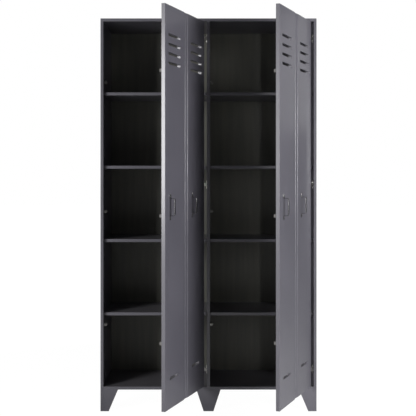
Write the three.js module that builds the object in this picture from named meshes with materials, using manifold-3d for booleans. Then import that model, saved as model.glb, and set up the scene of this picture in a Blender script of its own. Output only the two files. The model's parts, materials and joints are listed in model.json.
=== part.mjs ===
// A tall two-door locker cabinet of painted board, standing on tapered board feet.
// Millimetres, +X to the right, +Y from the front into the cabinet, +Z up from the floor.
// The doors stand open, each turned about its own vertical axis on its right-hand side.
import * as THREE from "three";
import { mergeVertices } from "three/addons/utils/BufferGeometryUtils.js";
import Module from "manifold-3d";

const wasm = await Module();
wasm.setup();

// Overall sizes
const width = 1100;
const height = 2000;
const depth = 400;

// Boards
const board = 15;
const backThickness = 4;
const footHeight = 110;
const shelfCount = 4;
const shelfBehindDoor = 2.5; // from the closed door's inner face to the shelves' front edges

// Feet: each tapers from its top to the floor
const legTop = 89;
const legBottom = 42;
const centreFootTop = 123;
const centreFootBottom = 50;

// Doors
const doorThickness = 18;
const doorGap = 3;
const leftDoorAngle = 70;
const rightDoorAngle = 67.3;
const pivotAhead = 12; // the turning axis lies this far in front of the closed door
const grooveWidth = 52;
const grooveDepth = 4.5;

// Louvre slots at the top of each leaf
const louvreCount = 4;
const louvreLength = 150;
const louvreHeight = 13;
const louvrePitch = 43.3;
const louvreFromTop = 136;
const slotCorner = 2.5;

// Ticket slot and round hole at the foot of each leaf
const ticketLength = 100;
const ticketHeight = 12.5;
const ticketHole = 9;
const ticketToHole = 15;
const ticketFromBottom = 139;
const ticketFromLeafEdge = 58;

// Bow handles bent from steel strip
const handleGrip = 80;
const handleTab = 20;
const handleReach = 25;
const handleStripWidth = 13;
const handleStripThickness = 2.5;
const handleBend = 7;
const handleFromLeafEdge = 60;

// Concealed hinges: near the door's foot, under the middle shelf and near the door's top
const hingeFromEnd = 79;
const hingeBelowShelf = 81;
const cupBore = 35;
const cupBoreDepth = 12.5;
const cupWall = 1.2;
const cupFromEdge = 22.5;
const cupFlangeThickness = 1.2;
const cupFlangeLength = 62;
const cupFlangeWidth = 20;
const plateLength = 46;
const plateWidth = 12;
const plateThickness = 2.5;
const plateRibLength = 34;
const plateRibWidth = 8;
const plateRibHeight = 7;
const plateWingLength = 46;
const plateWingWidth = 11;
const armLength = 56;
const armWidth = 16;
const armWall = 1.5;
const armHeight = 10;
const armBehindDoor = 3;
const armBehindPlate = 12; // its middle lies this far behind the plate's

// Magnetic catches near each door's free edge, placed from the lowest, the second and the top shelf
const catchBelowShelf = 49;
const catchAboveSecondShelf = 141;
const catchAboveTopShelf = 53;
const catchHeight = 15;
const strikeReach = 11;
const strikeWidth = 9;
const strikeFlangeWidth = 24;
const strikeFlangeThickness = 1.5;
const strikeFromEdge = 4;
const catchWidth = 15;
const catchLength = 32;
const catchGap = 0.8;

// Clearance between a fitting and the turned door that carries it
const fitGap = 0.3;

// How finely curves are drawn, and how far a cutter reaches past what it cuts
const cupSegments = 36;
const boreSegments = 20;
const slotSegments = 3;
const holeSegments = 10;
const flangeSegments = 12;
const bendSteps = 5;
const overshoot = 1;

// Corners this close are the same corner, in a solid and in an outline
const weldDistance = 1e-4;
const samePoint = 0.01;

// Places worked out from the sizes
const innerHalf = width / 2 - board;
const partitionHalf = board / 2;
const openingWidth = innerHalf - partitionHalf;
const bottomTop = footHeight + board;
const topUnderside = height - board;
const boardDepth = depth - backThickness;
const doorWidth = openingWidth - 2 * doorGap;
const doorBottom = bottomTop + doorGap;
const doorHeight = topUnderside - doorGap - doorBottom;
const leafWidth = (doorWidth - grooveWidth) / 2; // the flat part beside the groove
const shelfSetback = doorThickness + shelfBehindDoor;
const shelfPitch = (topUnderside - bottomTop + board) / (shelfCount + 1);
const middleShelf = Math.ceil(shelfCount / 2) + 1;
const hingeHeights = [
  doorBottom + hingeFromEnd,
  shelfUnderside(middleShelf) - hingeBelowShelf,
  doorBottom + doorHeight - hingeFromEnd,
];
const catchHeights = [
  shelfUnderside(1) - catchBelowShelf,
  shelfUnderside(2) + board + catchAboveSecondShelf,
  shelfUnderside(shelfCount) + board + catchAboveTopShelf,
];
const armFront = doorThickness + armBehindDoor;
const plateMiddle = armFront + armLength / 2 - armBehindPlate;

const paintedBoard = { color: 0x4b4a52, roughness: 0.5, metalness: 0 };
const blackSteel = { color: 0x2b2b2e, roughness: 0.35, metalness: 0.6 };
const nickelSteel = { color: 0xb4b4b2, roughness: 0.3, metalness: 1 };
const greyPlastic = { color: 0x8d8c88, roughness: 0.5, metalness: 0 };

// The height of a shelf's lower face, counted from 1 at the lowest shelf.
function shelfUnderside(count) {
  return bottomTop - board + count * shelfPitch;
}

function piece(name, geometry, finish) {
  const mesh = new THREE.Mesh(geometry, new THREE.MeshStandardMaterial(finish));
  mesh.name = name;
  return mesh;
}

// A box from its lowest corner to its highest. Its corners are set rather than scaled and moved,
// so that two boards which share a face share it exactly.
function boxBetween(low, high) {
  const geometry = new THREE.BoxGeometry();
  const corners = geometry.getAttribute("position");
  for (let i = 0; i < corners.count; i += 1) {
    for (let axis = 0; axis < 3; axis += 1) {
      const side = corners.getComponent(i, axis) < 0 ? low : high;
      corners.setComponent(i, axis, side[axis]);
    }
  }
  return geometry;
}

function outline(points) {
  return new THREE.Shape(points.map(([a, b]) => new THREE.Vector2(a, b)));
}

function extrude(shape, length, curveSegments = flangeSegments) {
  return new THREE.ExtrudeGeometry(shape, { depth: length, bevelEnabled: false, curveSegments });
}

const rightwards = new THREE.Vector3(1, 0, 0);
const backwards = new THREE.Vector3(0, 1, 0);
const upwards = new THREE.Vector3(0, 0, 1);

// Turns a geometry so that its own x, y and z point along the three given directions.
function turnTo(geometry, x, y, z) {
  return geometry.applyMatrix4(new THREE.Matrix4().makeBasis(x, y, z));
}

// An outline drawn in X and Z, extruded backwards from its front face at y.
function standing(shape, y, thickness, curveSegments) {
  const geometry = turnTo(
    extrude(shape, thickness, curveSegments),
    rightwards,
    upwards,
    backwards.clone().negate(),
  );
  return geometry.translate(0, y + thickness, 0);
}

// An outline drawn in Y and Z, extruded to the right from x.
function upright(shape, x, thickness, curveSegments) {
  const geometry = turnTo(extrude(shape, thickness, curveSegments), backwards, upwards, rightwards);
  return geometry.translate(x, 0, 0);
}

function toSolid(geometry) {
  const bare = geometry.clone();
  bare.deleteAttribute("normal");
  bare.deleteAttribute("uv");
  const merged = mergeVertices(bare, weldDistance);
  return new wasm.Manifold(
    new wasm.Mesh({
      numProp: 3,
      vertProperties: merged.attributes.position.array,
      triVerts: new Uint32Array(merged.index.array),
    }),
  );
}

function toGeometry(solid) {
  const mesh = solid.getMesh();
  const geometry = new THREE.BufferGeometry();
  geometry.setAttribute("position", new THREE.BufferAttribute(mesh.vertProperties, 3));
  geometry.setIndex(new THREE.BufferAttribute(mesh.triVerts, 1));
  return geometry;
}

function cutAway(geometry, cutters) {
  return toGeometry(cutters.reduce((left, cutter) => left.subtract(toSolid(cutter)), toSolid(geometry)));
}

function joinAll(geometries) {
  const [first, ...rest] = geometries.map(toSolid);
  return toGeometry(rest.reduce((whole, next) => whole.add(next), first));
}

// A slot in X and Z about its centre, with rounded corners.
function slotShape(x, z, length, slotHeight, corner) {
  const across = length / 2 - corner;
  const up = slotHeight / 2 - corner;
  const shape = new THREE.Shape();
  shape.absarc(x + across, z - up, corner, -Math.PI / 2, 0, false);
  shape.absarc(x + across, z + up, corner, 0, Math.PI / 2, false);
  shape.absarc(x - across, z + up, corner, Math.PI / 2, Math.PI, false);
  shape.absarc(x - across, z - up, corner, Math.PI, (3 * Math.PI) / 2, false);
  shape.closePath();
  return shape;
}

function circleShape(x, z, radius) {
  const shape = new THREE.Shape();
  shape.absarc(x, z, radius, 0, 2 * Math.PI, false);
  return shape;
}

// Carcass ------------------------------------------------------------------

// A side panel in Y and Z: its foot is cut out between a front and a rear leg.
function sidePanel(name, x) {
  const profile = outline([
    [0, 0],
    [legBottom, 0],
    [legTop, footHeight],
    [depth - legTop, footHeight],
    [depth - legBottom, 0],
    [depth, 0],
    [depth, height],
    [0, height],
  ]);
  return piece(name, upright(profile, x, board), paintedBoard);
}

function flatBoard(name, low, high) {
  return piece(name, boxBetween(low, high), paintedBoard);
}

function shelves() {
  const made = [];
  for (const [side, x] of [["left", -innerHalf], ["right", partitionHalf]]) {
    for (let i = 1; i <= shelfCount; i += 1) {
      const z = shelfUnderside(i);
      made.push(
        flatBoard(`${side}_shelf_${i}`, [x, shelfSetback, z], [x + openingWidth, boardDepth, z + board]),
      );
    }
  }
  return made;
}

function backPanels() {
  return [["left", -innerHalf], ["right", 0]].map(([side, x]) =>
    flatBoard(`${side}_back_panel`, [x, boardDepth, footHeight], [x + innerHalf, depth, height]),
  );
}

// The foot boards of one row, front or rear, with their front faces at y.
function footRow(row, y) {
  const cornerTop = legTop - board;
  const cornerBottom = legBottom - board;
  const shapes = {
    left: [
      [-innerHalf, 0],
      [-innerHalf + cornerBottom, 0],
      [-innerHalf + cornerTop, footHeight],
      [-innerHalf, footHeight],
    ],
    centre: [
      [-centreFootBottom / 2, 0],
      [centreFootBottom / 2, 0],
      [centreFootTop / 2, footHeight],
      [-centreFootTop / 2, footHeight],
    ],
    right: [
      [innerHalf - cornerBottom, 0],
      [innerHalf, 0],
      [innerHalf, footHeight],
      [innerHalf - cornerTop, footHeight],
    ],
  };
  return Object.entries(shapes).map(([place, points]) =>
    piece(`${row}_${place}_foot`, standing(outline(points), y, board), paintedBoard),
  );
}

function carcass() {
  return [
    sidePanel("left_side_panel", -width / 2),
    sidePanel("right_side_panel", innerHalf),
    flatBoard("top_panel", [-innerHalf, 0, topUnderside], [innerHalf, boardDepth, height]),
    flatBoard("bottom_panel", [-innerHalf, 0, footHeight], [innerHalf, boardDepth, bottomTop]),
    flatBoard(
      "centre_partition",
      [-partitionHalf, 0, bottomTop],
      [partitionHalf, boardDepth, topUnderside],
    ),
    ...shelves(),
    ...backPanels(),
    ...footRow("front", 0),
    ...footRow("rear", depth - board),
  ];
}

// Doors ---------------------------------------------------------------------
// A door is drawn shut, in its own frame: x runs from the hinge edge at 0 to the free edge at
// -doorWidth, y from the outer face at 0 to the inner face at doorThickness, z up from its foot.

const leafStarts = [-doorWidth, -leafWidth];

// The plan section, with a V-groove between the two leaves on the outer face.
function doorSlab() {
  const plan = outline([
    [0, 0],
    [0, doorThickness],
    [-doorWidth, doorThickness],
    [-doorWidth, 0],
    [-leafWidth - grooveWidth, 0],
    [-leafWidth - grooveWidth / 2, grooveDepth],
    [-leafWidth, 0],
  ]);
  return extrude(plan, doorHeight);
}

// Louvres, ticket slots and round holes go right through; the hinge cups' bores stop short.
function doorCutters() {
  const depth = doorThickness + 2 * overshoot;
  const slot = (x, z, length, slotHeight) =>
    standing(slotShape(x, z, length, slotHeight, slotCorner), -overshoot, depth, slotSegments);
  const cutters = [];
  for (const start of leafStarts) {
    for (let i = 0; i < louvreCount; i += 1) {
      const z = doorHeight - louvreFromTop - i * louvrePitch;
      cutters.push(slot(start + leafWidth / 2, z, louvreLength, louvreHeight));
    }
    const slotStart = start + ticketFromLeafEdge;
    const holeCentre = slotStart + ticketLength + ticketToHole;
    cutters.push(
      slot(slotStart + ticketLength / 2, ticketFromBottom, ticketLength, ticketHeight),
      standing(circleShape(holeCentre, ticketFromBottom, ticketHole / 2), -overshoot, depth, holeSegments),
    );
  }
  for (const height of hingeHeights) {
    const bore = circleShape(-cupFromEdge, height - doorBottom, cupBore / 2);
    cutters.push(standing(bore, doorThickness - cupBoreDepth, cupBoreDepth + overshoot, boreSegments));
  }
  return cutters;
}

// The strip's middle line: a foot flat on the door, out to the grip, along it and back.
// It is drawn as (distance from the door, height) and filleted at its four bends.
function handleOutline() {
  const half = handleStripThickness / 2;
  const near = half;
  const far = handleReach - half;
  const corners = [
    [near, -handleGrip / 2 - handleTab],
    [near, -handleGrip / 2],
    [far, -handleGrip / 2],
    [far, handleGrip / 2],
    [near, handleGrip / 2],
    [near, handleGrip / 2 + handleTab],
  ].map(([a, b]) => new THREE.Vector2(a, b));
  const line = new THREE.CurvePath();
  let from = corners[0];
  for (let i = 1; i < corners.length - 1; i += 1) {
    const toStart = corners[i - 1].clone().sub(corners[i]).setLength(handleBend);
    const toEnd = corners[i + 1].clone().sub(corners[i]).setLength(handleBend);
    const start = corners[i].clone().add(toStart);
    const end = corners[i].clone().add(toEnd);
    const centre = corners[i].clone().add(toStart).add(toEnd);
    line.add(new THREE.LineCurve(from, start));
    line.add(bend(centre, start, end));
    from = end;
  }
  line.add(new THREE.LineCurve(from, corners.at(-1)));
  return offsetBothSides(line, half);
}

// A quarter turn about a centre, from one point to the next.
function bend(centre, start, end) {
  const a = start.clone().sub(centre).angle();
  const b = end.clone().sub(centre).angle();
  const clockwise = start.clone().sub(centre).cross(end.clone().sub(centre)) < 0;
  return new THREE.EllipseCurve(centre.x, centre.y, handleBend, handleBend, a, b, clockwise);
}

function offsetBothSides(line, half) {
  const left = [];
  const right = [];
  for (const curve of line.curves) {
    const steps = curve.isLineCurve ? 1 : bendSteps;
    for (let i = 0; i <= steps; i += 1) {
      const point = curve.getPoint(i / steps);
      const along = curve.getTangent(i / steps);
      const aside = new THREE.Vector2(-along.y, along.x).multiplyScalar(half);
      left.push(point.clone().add(aside));
      right.push(point.clone().sub(aside));
    }
  }
  const apart = (points) => points.filter((p, i) => i === 0 || p.distanceTo(points[i - 1]) > samePoint);
  return new THREE.Shape([...apart(left), ...apart(right).reverse()]);
}

// The strip's width runs along x, from the middle of the handle at the given place.
function handle(name, x) {
  const geometry = turnTo(
    extrude(handleOutline(), handleStripWidth),
    backwards.clone().negate(),
    upwards,
    rightwards.clone().negate(),
  );
  geometry.translate(x + handleStripWidth / 2, -fitGap, doorHeight / 2);
  return piece(name, geometry, blackSteel);
}

// A deep-drawn cup with a winged flange that lies on the door's inner face.
function hingeCup(name, z) {
  const radius = cupBore / 2 - fitGap;
  const floor = cupBoreDepth - fitGap;
  const cup = new THREE.LatheGeometry(
    [
      [0, -floor],
      [radius, -floor],
      [radius, fitGap + cupFlangeThickness],
      [radius - cupWall, fitGap + cupFlangeThickness],
      [radius - cupWall, cupWall - floor],
      [0, cupWall - floor],
    ].map(([r, y]) => new THREE.Vector2(r, y)),
    cupSegments,
  );
  cup.translate(-cupFromEdge, doorThickness, z);
  const flange = slotShape(0, 0, cupFlangeLength, cupFlangeWidth, cupFlangeWidth / 2);
  const mouth = circleShape(0, 0, radius - cupWall / 2);
  const facingBack = (shape, thickness) =>
    turnTo(extrude(shape, thickness), upwards, rightwards, backwards);
  const plate = facingBack(flange, cupFlangeThickness);
  const opening = facingBack(mouth, cupFlangeThickness + 2 * overshoot);
  plate.translate(-cupFromEdge, doorThickness + fitGap, z);
  opening.translate(-cupFromEdge, doorThickness + fitGap - overshoot, z);
  const ears = toSolid(plate).subtract(toSolid(opening));
  return piece(name, toGeometry(ears.add(toSolid(cup))), nickelSteel);
}

// A pressed plate with a raised pad, which meets the magnet on the wall.
function catchStrike(name, z) {
  const edge = -doorWidth + strikeFromEdge;
  const face = doorThickness + fitGap;
  const half = catchHeight / 2;
  const flangeEnd = edge + strikeFlangeWidth;
  const geometry = joinAll([
    boxBetween([edge, face, z - half], [flangeEnd, face + strikeFlangeThickness, z + half]),
    boxBetween([edge, face, z - half], [edge + strikeWidth, doorThickness + strikeReach, z + half]),
  ]);
  return piece(name, geometry, nickelSteel);
}

// One door with what is fixed to it, closed on its opening and then turned open about its axis.
function door(side, openingRight, angle) {
  const hung = new THREE.Group();
  hung.position.set(0, pivotAhead, 0);
  hung.add(piece(`${side}_door`, cutAway(doorSlab(), doorCutters()), paintedBoard));
  for (const [leaf, start] of [["left", leafStarts[0]], ["right", leafStarts[1]]]) {
    hung.add(handle(`${side}_door_${leaf}_handle`, start + handleFromLeafEdge));
  }
  hingeHeights.forEach((height, i) => {
    hung.add(hingeCup(`${side}_hinge_cup_${i + 1}`, height - doorBottom));
  });
  catchHeights.forEach((height, i) => {
    hung.add(catchStrike(`${side}_catch_strike_${i + 1}`, height - doorBottom));
  });
  const turned = new THREE.Group();
  turned.position.set(openingRight - doorGap, -pivotAhead, doorBottom);
  turned.rotation.z = THREE.MathUtils.degToRad(angle);
  turned.add(hung);
  return turned;
}

// Fittings on the walls -------------------------------------------------------
// They stand on a wall whose face is at x and reach to the left of it.

// A cross-shaped mounting plate with a raised rib that carries the hinge arm.
function mountingPlate(name, wall, z) {
  const bar = (length, thickness, reach) =>
    boxBetween(
      [wall - reach, plateMiddle - length / 2, z - thickness / 2],
      [wall, plateMiddle + length / 2, z + thickness / 2],
    );
  const geometry = joinAll([
    bar(plateLength, plateWidth, plateThickness),
    bar(plateWingWidth, plateWingLength, plateThickness),
    bar(plateRibLength, plateRibWidth, plateRibHeight),
  ]);
  return piece(name, geometry, nickelSteel);
}

// A channel that straddles the mounting plate's rib, open towards the wall.
function hingeArm(name, wall, z) {
  const base = wall - plateThickness - fitGap;
  const half = armWidth / 2;
  const rear = armFront + armLength;
  const box = boxBetween([base - armHeight, armFront, z - half], [base, rear, z + half]);
  const hollow = boxBetween(
    [base - armHeight + armWall, armFront - overshoot, z - half + armWall],
    [base + overshoot, rear + overshoot, z + half - armWall],
  );
  return piece(name, cutAway(box, [hollow]), nickelSteel);
}

function hinges(side, wall) {
  return hingeHeights.flatMap((z, i) => [
    mountingPlate(`${side}_hinge_plate_${i + 1}`, wall, z),
    hingeArm(`${side}_hinge_arm_${i + 1}`, wall, z),
  ]);
}

// A magnetic catch on the wall at the free edge, just behind the closed door's strike.
function catches(side, wall) {
  const front = doorThickness + strikeReach + catchGap;
  return catchHeights.map((z, i) => {
    const body = boxBetween(
      [wall, front, z - catchHeight / 2],
      [wall + catchWidth, front + catchLength, z + catchHeight / 2],
    );
    return piece(`${side}_catch_magnet_${i + 1}`, body, greyPlastic);
  });
}

// The origin is under the middle of the front centre foot.
const cabinet = new THREE.Group();
cabinet.position.y = -board / 2;
cabinet.add(
  ...carcass(),
  door("left", -partitionHalf, leftDoorAngle),
  door("right", innerHalf, rightDoorAngle),
  ...hinges("left", -partitionHalf),
  ...hinges("right", innerHalf),
  ...catches("left", -innerHalf),
  ...catches("right", partitionHalf),
);

const locker = new THREE.Group();
locker.add(cabinet);

export default locker;
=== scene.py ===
import bmesh
import bpy
import json
import math
from mathutils import Matrix, Vector


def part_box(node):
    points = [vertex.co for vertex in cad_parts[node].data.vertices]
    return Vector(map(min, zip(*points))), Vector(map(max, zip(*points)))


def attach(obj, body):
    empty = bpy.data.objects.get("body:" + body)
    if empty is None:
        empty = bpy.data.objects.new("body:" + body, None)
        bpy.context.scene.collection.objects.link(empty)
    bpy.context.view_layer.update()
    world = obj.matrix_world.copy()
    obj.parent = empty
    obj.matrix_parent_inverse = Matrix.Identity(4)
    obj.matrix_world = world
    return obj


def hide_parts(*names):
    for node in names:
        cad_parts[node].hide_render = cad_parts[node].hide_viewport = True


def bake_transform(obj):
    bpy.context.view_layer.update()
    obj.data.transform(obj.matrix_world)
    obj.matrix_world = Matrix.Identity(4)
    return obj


# Two-door locker cabinet: painted boards, bow handles, concealed hinges, magnetic catches.
# Metres. Its front is at frontY and it goes back along +Y. The doors stand open.

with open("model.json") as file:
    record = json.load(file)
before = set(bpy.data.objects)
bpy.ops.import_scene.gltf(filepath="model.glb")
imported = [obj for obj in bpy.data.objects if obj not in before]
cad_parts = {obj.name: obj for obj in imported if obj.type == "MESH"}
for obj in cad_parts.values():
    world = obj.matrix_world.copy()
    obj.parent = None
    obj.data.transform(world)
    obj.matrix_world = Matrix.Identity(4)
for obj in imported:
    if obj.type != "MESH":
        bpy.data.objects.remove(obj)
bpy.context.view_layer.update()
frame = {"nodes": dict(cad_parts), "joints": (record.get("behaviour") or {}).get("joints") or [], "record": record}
mm = 0.001
collection = bpy.context.scene.collection
sides = ("left", "right")
fittingNumbers = (1, 2, 3)  # hinges and catches on each door
shelfNumbers = (1, 2, 3, 4)
white = (1, 1, 1, 1)
jointNamed = {joint["name"]: joint for joint in frame["joints"]}
groups = frame["record"]["behaviour"]["bodies"]
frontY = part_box("centre_partition")[0].y
print("frame loaded:", len(frame["nodes"]), "nodes")


# making meshes and pieces

def linkNew(name, data):
    made = bpy.data.objects.new(name, data)
    collection.objects.link(made)
    return made


def setPiece(name, mesh, material, body, nodes=()):
    mesh.materials.clear()
    mesh.materials.append(material)
    piece = linkNew(name, mesh)
    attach(piece, body)
    if nodes:
        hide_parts(*nodes)
    return piece


def plainMesh(name, points, faces):
    mesh = bpy.data.meshes.new(name)
    mesh.from_pydata([tuple(point) for point in points], [], faces)
    mesh.update()
    return mesh


def joinMeshes(name, meshes):
    points, faces = [], []
    for mesh in meshes:
        start = len(points)
        points += [vertex.co.copy() for vertex in mesh.vertices]
        faces += [[start + i for i in polygon.vertices] for polygon in mesh.polygons]
    return plainMesh(name, points, faces)


smallFacet = 100 * mm * mm  # faces larger than this are shaded flat
slightBend = 0.02
samePoint = 0.01 * mm
flatWithin = math.radians(0.4)


def easeEdges(mesh, radius, segments=3, sharpFrom=28, smoothUpTo=25):
    # rounds each sharp edge and marks the rounding, for the wear in the finish
    shape = bmesh.new()
    shape.from_mesh(mesh)
    bmesh.ops.remove_doubles(shape, verts=shape.verts, dist=samePoint)
    bmesh.ops.dissolve_limit(shape, angle_limit=flatWithin, verts=shape.verts, edges=shape.edges)
    bmesh.ops.recalc_face_normals(shape, faces=shape.faces)
    limit = math.radians(sharpFrom)
    sharp = [e for e in shape.edges if e.is_manifold and e.calc_face_angle(0) > limit]
    made = bmesh.ops.bevel(
        shape, geom=sharp, offset=radius, offset_type="OFFSET",
        segments=segments, profile=0.5, affect="EDGES", clamp_overlap=True,
    )
    rounded = set(made["faces"])
    curved = math.radians(smoothUpTo)
    for face in shape.faces:
        bends = [e.calc_face_angle(0) for e in face.edges if e.is_manifold]
        turning = face.calc_area() < smallFacet and any(slightBend < b < curved for b in bends)
        face.smooth = face in rounded or turning
    rub = shape.verts.layers.float.new("edgeRub")
    for vertex in shape.verts:
        vertex[rub] = float(all(face in rounded for face in vertex.link_faces))
    shape.to_mesh(mesh)
    shape.free()
    mesh.update()
    return mesh


def copyOfNode(node):
    return frame["nodes"][node].data.copy()


# node trees

def addNode(tree, kind, sockets=None, **settings):
    node = tree.nodes.new(kind)
    for key, value in settings.items():
        setattr(node, key, value)
    for key, value in (sockets or {}).items():
        sources = value if isinstance(value, list) else [value]
        for source in sources:
            if isinstance(source, bpy.types.NodeSocket):
                tree.links.new(source, node.inputs[key])
            else:
                node.inputs[key].default_value = source
    return node


def startTree(name, treeKind, inputs, outputs):
    tree = bpy.data.node_groups.new(name, treeKind)
    for label, (kind, value) in inputs.items():
        socket = tree.interface.new_socket(label, in_out="INPUT", socket_type=kind)
        if value is not None:
            socket.default_value = value
    for label, kind in outputs.items():
        tree.interface.new_socket(label, in_out="OUTPUT", socket_type=kind)
    return tree, addNode(tree, "NodeGroupInput").outputs, addNode(tree, "NodeGroupOutput")


floatKind, wholeKind, vectorKind = "NodeSocketFloat", "NodeSocketInt", "NodeSocketVector"
shapeKind, finishKind = "NodeSocketGeometry", "NodeSocketMaterial"


def runTree(name, base, tree, values):
    # runs a geometry tree over a mesh and hands back a plain mesh
    carrier = linkNew(name, base)
    modifier = carrier.modifiers.new("shape", "NODES")
    modifier.node_group = tree
    identifiers = {
        item.name: item.identifier for item in tree.interface.items_tree if item.in_out == "INPUT"
    }
    for label, value in values.items():
        modifier[identifiers[label]] = value
    evaluated = carrier.evaluated_get(bpy.context.evaluated_depsgraph_get())
    mesh = bpy.data.meshes.new_from_object(evaluated)
    carrier.modifiers.remove(modifier)
    bpy.data.objects.remove(carrier)
    mesh.name = name
    return mesh


def vectorOf(tree, x=0.0, y=0.0, z=0.0):
    return addNode(tree, "ShaderNodeCombineXYZ", {"X": x, "Y": y, "Z": z}).outputs[0]


def maths(tree, operation, first, second=0.0, third=0.0):
    sockets = {0: first, 1: second, 2: third}
    return addNode(tree, "ShaderNodeMath", sockets, operation=operation).outputs[0]


# shared surface effects

def makeGrainGroup():
    tree, given, out = startTree(
        "finishGrain", "ShaderNodeTree",
        {
            "Vector": (vectorKind, None),
            "Patch Scale": (floatKind, 4.0),
            "Grain Scale": (floatKind, 700.0),
        },
        {"Patch": floatKind, "Grain": floatKind},
    )
    patch = addNode(
        tree, "ShaderNodeTexNoise",
        {"Vector": given["Vector"], "Scale": given["Patch Scale"], "Detail": 3.0, "Roughness": 0.55},
    )
    grain = addNode(
        tree, "ShaderNodeTexNoise",
        {"Vector": given["Vector"], "Scale": given["Grain Scale"], "Detail": 2.0, "Roughness": 0.5},
    )
    tree.links.new(patch.outputs[0], out.inputs["Patch"])
    tree.links.new(grain.outputs[0], out.inputs["Grain"])
    return tree


def makeRubGroup():
    # paint rubbed thin along the eased edges, in broken patches
    tree, given, out = startTree(
        "edgeRubbing", "ShaderNodeTree",
        {"Vector": (vectorKind, None), "Patch Scale": (floatKind, 60.0), "Amount": (floatKind, 0.5)},
        {"Mask": floatKind},
    )
    edge = addNode(tree, "ShaderNodeAttribute", attribute_name="edgeRub").outputs["Fac"]
    noise = addNode(
        tree, "ShaderNodeTexNoise",
        {"Vector": given["Vector"], "Scale": given["Patch Scale"], "Detail": 4.0, "Roughness": 0.6},
    ).outputs[0]
    broken = addNode(
        tree, "ShaderNodeMapRange", {"Value": noise, "From Min": 0.42, "From Max": 0.62}
    ).outputs[0]
    worn = maths(tree, "MULTIPLY", edge, broken)
    tree.links.new(maths(tree, "MULTIPLY", worn, given["Amount"]), out.inputs["Mask"])
    return tree


def makeDustGroup():
    # a thin film of dust on what faces up
    tree, given, out = startTree(
        "restingDust", "ShaderNodeTree",
        {"Vector": (vectorKind, None), "Scale": (floatKind, 9.0), "Amount": (floatKind, 0.2)},
        {"Mask": floatKind},
    )
    normal = addNode(tree, "ShaderNodeNewGeometry").outputs["True Normal"]
    upward = addNode(tree, "ShaderNodeSeparateXYZ", {0: normal}).outputs["Z"]
    facingUp = addNode(
        tree, "ShaderNodeMapRange", {"Value": upward, "From Min": 0.6, "From Max": 0.98}
    ).outputs[0]
    noise = addNode(
        tree, "ShaderNodeTexNoise",
        {"Vector": given["Vector"], "Scale": given["Scale"], "Detail": 5.0, "Roughness": 0.65},
    ).outputs[0]
    film = maths(tree, "MULTIPLY", facingUp, noise)
    tree.links.new(maths(tree, "MULTIPLY", film, given["Amount"]), out.inputs["Mask"])
    return tree


grainGroup, rubGroup, dustGroup = makeGrainGroup(), makeRubGroup(), makeDustGroup()


def placeGroup(tree, group, sockets):
    return addNode(tree, "ShaderNodeGroup", sockets, node_tree=group).outputs


def mixColours(tree, mask, first, second):
    return addNode(
        tree, "ShaderNodeMix", {0: mask, 6: first, 7: second}, data_type="RGBA"
    ).outputs[2]


def spread(tree, value, low, high):
    return addNode(
        tree, "ShaderNodeMapRange",
        {"Value": value, "From Min": 0.3, "From Max": 0.7, "To Min": low, "To Max": high},
    ).outputs[0]


def makeFinish(name, look):
    material = bpy.data.materials.new(name)
    material.use_nodes = True
    tree = material.node_tree
    tree.nodes.clear()
    place = addNode(tree, "ShaderNodeTexCoord").outputs["Object"]
    run = addNode(tree, "ShaderNodeMapping", {"Vector": place, "Scale": look["stretch"]}).outputs[0]
    grain = placeGroup(
        tree, grainGroup,
        {"Vector": run, "Patch Scale": look["patchScale"], "Grain Scale": look["grainScale"]},
    )
    rub = placeGroup(
        tree, rubGroup, {"Vector": place, "Patch Scale": look["rubScale"], "Amount": look["rub"]}
    )["Mask"]
    dust = placeGroup(
        tree, dustGroup, {"Vector": place, "Scale": look["dustScale"], "Amount": look["dust"]}
    )["Mask"]
    tone = mixColours(tree, spread(tree, grain["Patch"], 0.0, 1.0), look["dark"], look["light"])
    tone = mixColours(tree, rub, tone, look["rubbed"])
    tone = mixColours(tree, dust, tone, look["dustColour"])
    gloss = maths(
        tree, "ADD",
        spread(tree, grain["Patch"], look["roughness"][0], look["roughness"][1]),
        maths(tree, "MULTIPLY", dust, look["dustRoughness"]),
    )
    bump = addNode(
        tree, "ShaderNodeBump",
        {"Height": grain["Grain"], "Strength": look["bump"], "Distance": look["bumpDepth"]},
    ).outputs[0]
    shader = addNode(
        tree, "ShaderNodeBsdfPrincipled",
        {
            "Base Color": tone, "Roughness": gloss, "Normal": bump,
            "Metallic": look["metallic"], "IOR": look["ior"],
            "Coat Weight": look["coat"], "Coat Roughness": look["coatRoughness"],
        },
    )
    surface = addNode(tree, "ShaderNodeOutputMaterial")
    tree.links.new(shader.outputs[0], surface.inputs["Surface"])
    return material


paintLook = {
    "dark": (0.066, 0.064, 0.078, 1.0),
    "light": (0.078, 0.075, 0.091, 1.0),
    "rubbed": (0.20, 0.19, 0.21, 1.0),
    "rub": 0.35,
    "rubScale": 55.0,
    "dustColour": (0.22, 0.21, 0.20, 1.0),
    "dust": 0.35,
    "dustScale": 7.0,
    "dustRoughness": 0.5,
    "stretch": (1.0, 1.0, 1.0),
    "patchScale": 3.0,
    "grainScale": 520.0,
    "roughness": (0.44, 0.52),
    "bump": 0.12,
    "bumpDepth": 0.3 * mm,
    "metallic": 0.0,
    "ior": 1.5,
    "coat": 0.5,
    "coatRoughness": 0.22,
}
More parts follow.
